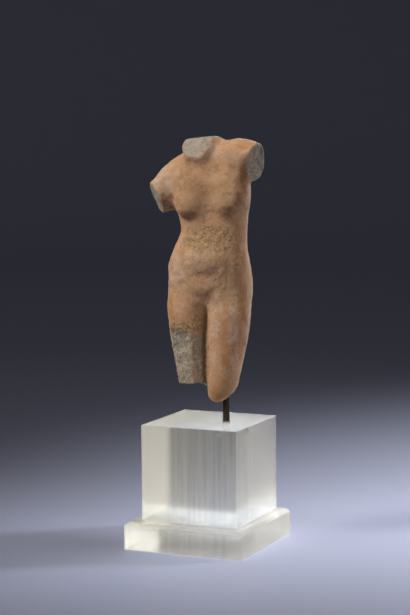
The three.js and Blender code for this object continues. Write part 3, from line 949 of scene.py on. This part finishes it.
def metal_material():
    n = Nodes("dark_drawn_metal")
    streaks = n.noise(60, 3, 0.6, stretch=(14, 14, 1))
    patches = n.noise(160, 4, 0.6)
    colour = n.mix(n.ramp(streaks, 0.35, 0.7), srgb(38, 34, 30), srgb(74, 66, 56))
    colour = n.mix(n.ramp(patches, 0.55, 0.7, 0.0, 0.6), colour, srgb(96, 74, 52))
    n.plug(n.shader, "Base Color", colour)
    n.shader.inputs["Metallic"].default_value = 0.7
    n.plug(n.shader, "Roughness", n.ramp(patches, 0.3, 0.7, 0.42, 0.66))
    n.tree.links.new(n.bump(streaks, 0.35, 0.1 * MM), n.shader.inputs["Normal"])
    return n.material


def acrylic_material():
    """Clear acrylic, its faces rubbed to a fine upright grain, and the block's left part tinted warm
    and bright as a painted glow.
    """
    n = Nodes("brushed_frosted_acrylic")
    brushed = n.noise(40, 3, 0.6, stretch=(14, 14, 0.3))
    haze = n.noise(30, 3, 0.5)
    tint = n.mix(n.ramp(haze, 0.35, 0.65), srgb(246, 243, 226), srgb(240, 238, 225))
    tint = n.mix(n.ramp(brushed, 0.40, 0.60), tint, srgb(214, 215, 213))
    slab_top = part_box("base_slab")[1].z
    left_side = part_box("plinth_block")[0].x
    at = n.add("ShaderNodeSeparateXYZ")
    n.plug(at, "Vector", n.place)
    above_slab = n.ramp(at.outputs["Z"], slab_top - 4 * MM, slab_top, 0.25, 1.0)
    # Painted glow: the block's left part, most of all above the slab, tinted warmer and brighter
    # like lamp light reflected in its left wall
    left_warm_glow = n.ramp(at.outputs["X"], left_side + 21 * MM, left_side + 14 * MM)
    tint = n.mix(n.math("MULTIPLY", left_warm_glow, above_slab), tint, srgb(251, 245, 221))
    n.plug(n.shader, "Base Color", tint)
    n.plug(n.shader, "Roughness", n.ramp(brushed, 0.3, 0.7, 0.25, 0.27))
    n.shader.inputs["IOR"].default_value = 1.49
    n.shader.inputs["Transmission Weight"].default_value = 0.86
    return n.material


def joint_material():
    """The block's ground underside, whiter and duller than its sides."""
    n = Nodes("ground_acrylic_joint")
    cloudy = n.noise(160, 4, 0.6)
    tint = n.mix(n.ramp(cloudy, 0.35, 0.65), srgb(218, 225, 240), srgb(186, 194, 212))
    n.plug(n.shader, "Base Color", tint)
    n.plug(n.shader, "Roughness", n.ramp(cloudy, 0.3, 0.7, 0.45, 0.6))
    n.shader.inputs["IOR"].default_value = 1.49
    n.shader.inputs["Transmission Weight"].default_value = 0.35
    return n.material


def dress(piece, material):
    piece.data.materials.clear()
    piece.data.materials.append(material)


def grind_underside(block):
    """Gives the block's faces that look down the ground material."""
    facing_down = -0.9
    block.data.materials.append(joint_material())
    for face in block.data.polygons:
        face.material_index = 1 if face.normal.z < facing_down else 0


# Stage, lights and camera

def make_stage():
    """A pale floor that curves up into a round wall far from the sculpture."""
    flat_radius = 1.9
    bend = 0.9
    wall_top = 2.6
    floor_level = -0.1 * MM
    bend_steps = 12
    sides = 96
    profile = [(0.0, floor_level), (flat_radius * 0.5, floor_level)]
    for n in range(bend_steps + 1):
        a = math.radians(90 * n / bend_steps)
        profile.append((flat_radius + bend * math.sin(a), floor_level + bend * (1 - math.cos(a))))
    profile.append((flat_radius + bend, wall_top))
    work = bmesh.new()
    centre = Vector((0, 0, 0))
    middle = work.verts.new((0, 0, profile[0][1]))
    rings = [round_ring(work, centre, radius, z, sides) for radius, z in profile[1:]]
    for n, vert in enumerate(rings[0]):
        work.faces.new((middle, vert, rings[0][(n + 1) % len(rings[0])]))
    for inner, outer in zip(rings, rings[1:]):
        bridge(work, outer, inner)
    work.normal_update()
    floor = mesh_object("floor", work)
    shade_smooth(floor.data)
    n = Nodes("pale_floor")
    n.shader.inputs["Base Color"].default_value = (*srgb(158, 162, 184), 1)
    n.shader.inputs["Roughness"].default_value = 0.6
    n.shader.inputs["Specular IOR Level"].default_value = 0.25
    dress(floor, n.material)
    return floor


# Lamps: name, azimuth and elevation in degrees, distance and size in metres, power in watts,
# colour, spread in degrees and the point aimed at. Azimuth 0 is the front and 90 the +X side
LAMPS = [
    ("key", -44, 40, 1.0, 0.40, 0.36, (1.0, 0.97, 0.92), 26, (0, 0, 0.155)),
    ("top", 90, 89, 1.05, 0.30, 1.4, (0.98, 0.99, 1.0), 56, (0.32, 0.20, 0)),
    ("rim", 176, 18, 1.1, 0.20, 0.075, (0.86, 0.93, 1.0), 16, (0, 0, 0.20)),
    ("back_right", 152, 13, 1.1, 0.28, 0.03, (0.95, 0.97, 1.0), 16, (0, 0, 0.045)),
    ("low_side", 124, 13, 1.1, 0.20, 0.21, (0.93, 0.96, 1.0), 18, (0, 0, 0.02)),
    ("back_left", -140, 40, 1.2, 0.6, 0.12, (0.97, 0.98, 1.0), 80, (0, 0, 0.10)),
    ("fill", 66, 8, 1.4, 1.0, 1.3, (1.0, 0.92, 0.82), 100, (0, 0, 0.16)),
]
TABLE_LAMP = "low_side"


def outward(azimuth, elevation):
    """The direction from the middle outward at an azimuth and elevation in radians."""
    level = math.cos(elevation)
    return Vector((math.sin(azimuth) * level, -math.cos(azimuth) * level, math.sin(elevation)))


def area_light(name, azimuth, elevation, distance, size, power, colour, spread, aim):
    lamp = bpy.data.lights.new(name, "AREA")
    lamp.shape = "DISK"
    lamp.size = size
    lamp.energy = power
    lamp.color = colour
    lamp.spread = math.radians(spread)
    light = bpy.data.objects.new(name, lamp)
    back = outward(math.radians(azimuth), math.radians(elevation))
    light.location = Vector(aim) + back * distance
    light.rotation_mode = "QUATERNION"
    light.rotation_quaternion = back.to_track_quat("Z", "Y")
    bpy.context.scene.collection.objects.link(light)
    return light


def make_lights(torso, rod, floor):
    """Lamps that shine through the acrylic, and a low one that throws the plinth's shadow."""
    world = bpy.data.worlds.new("studio")
    world.use_nodes = True
    sky = world.node_tree.nodes["Background"]
    sky.inputs["Color"].default_value = (0.100, 0.096, 0.096, 1)
    sky.inputs["Strength"].default_value = 1.0
    bpy.context.scene.world = world
    casters = bpy.data.collections.new("shadow_casters")
    for piece in (torso, rod, floor):
        casters.objects.link(piece)
    table = bpy.data.collections.new("table")
    table.objects.link(floor)
    for name, *settings in LAMPS:
        light = area_light(name, *settings)
        if name == TABLE_LAMP:
            light.light_linking.receiver_collection = table
        else:
            light.light_linking.blocker_collection = casters


def make_camera():
    back = outward(VIEW_AZIMUTH, VIEW_ELEVATION)
    level_right = Vector((math.cos(VIEW_AZIMUTH), math.sin(VIEW_AZIMUTH), 0))
    level_up = back.cross(level_right)
    right = level_right * math.cos(VIEW_ROLL) + level_up * math.sin(VIEW_ROLL)
    up = level_up * math.cos(VIEW_ROLL) - level_right * math.sin(VIEW_ROLL)
    target = Vector((0, 0, VIEW_TARGET_Z)) + level_right * VIEW_SIDE_STEP
    data = bpy.data.cameras.new("camera")
    data.sensor_width = SENSOR
    data.lens = FOCAL_PIXELS / PHOTO_HEIGHT_PIXELS * SENSOR
    data.clip_start = 0.05
    data.clip_end = 20
    camera = bpy.data.objects.new("camera", data)
    axes = Matrix((right, up, back)).transposed()
    camera.matrix_world = Matrix.Translation(target + back * VIEW_DISTANCE) @ axes.to_4x4()
    bpy.context.scene.collection.objects.link(camera)
    bpy.context.scene.camera = camera


def main():
    torso = make_torso()
    rod = make_rod()
    dress(torso, terracotta_material())
    dress(rod, metal_material())
    acrylic = acrylic_material()
    block = make_block()
    dress(block, acrylic)
    dress(make_slab(), acrylic)
    grind_underside(block)
    floor = make_stage()
    make_lights(torso, rod, floor)
    make_camera()
    bpy.context.scene.view_settings.view_transform = "Standard"


main()
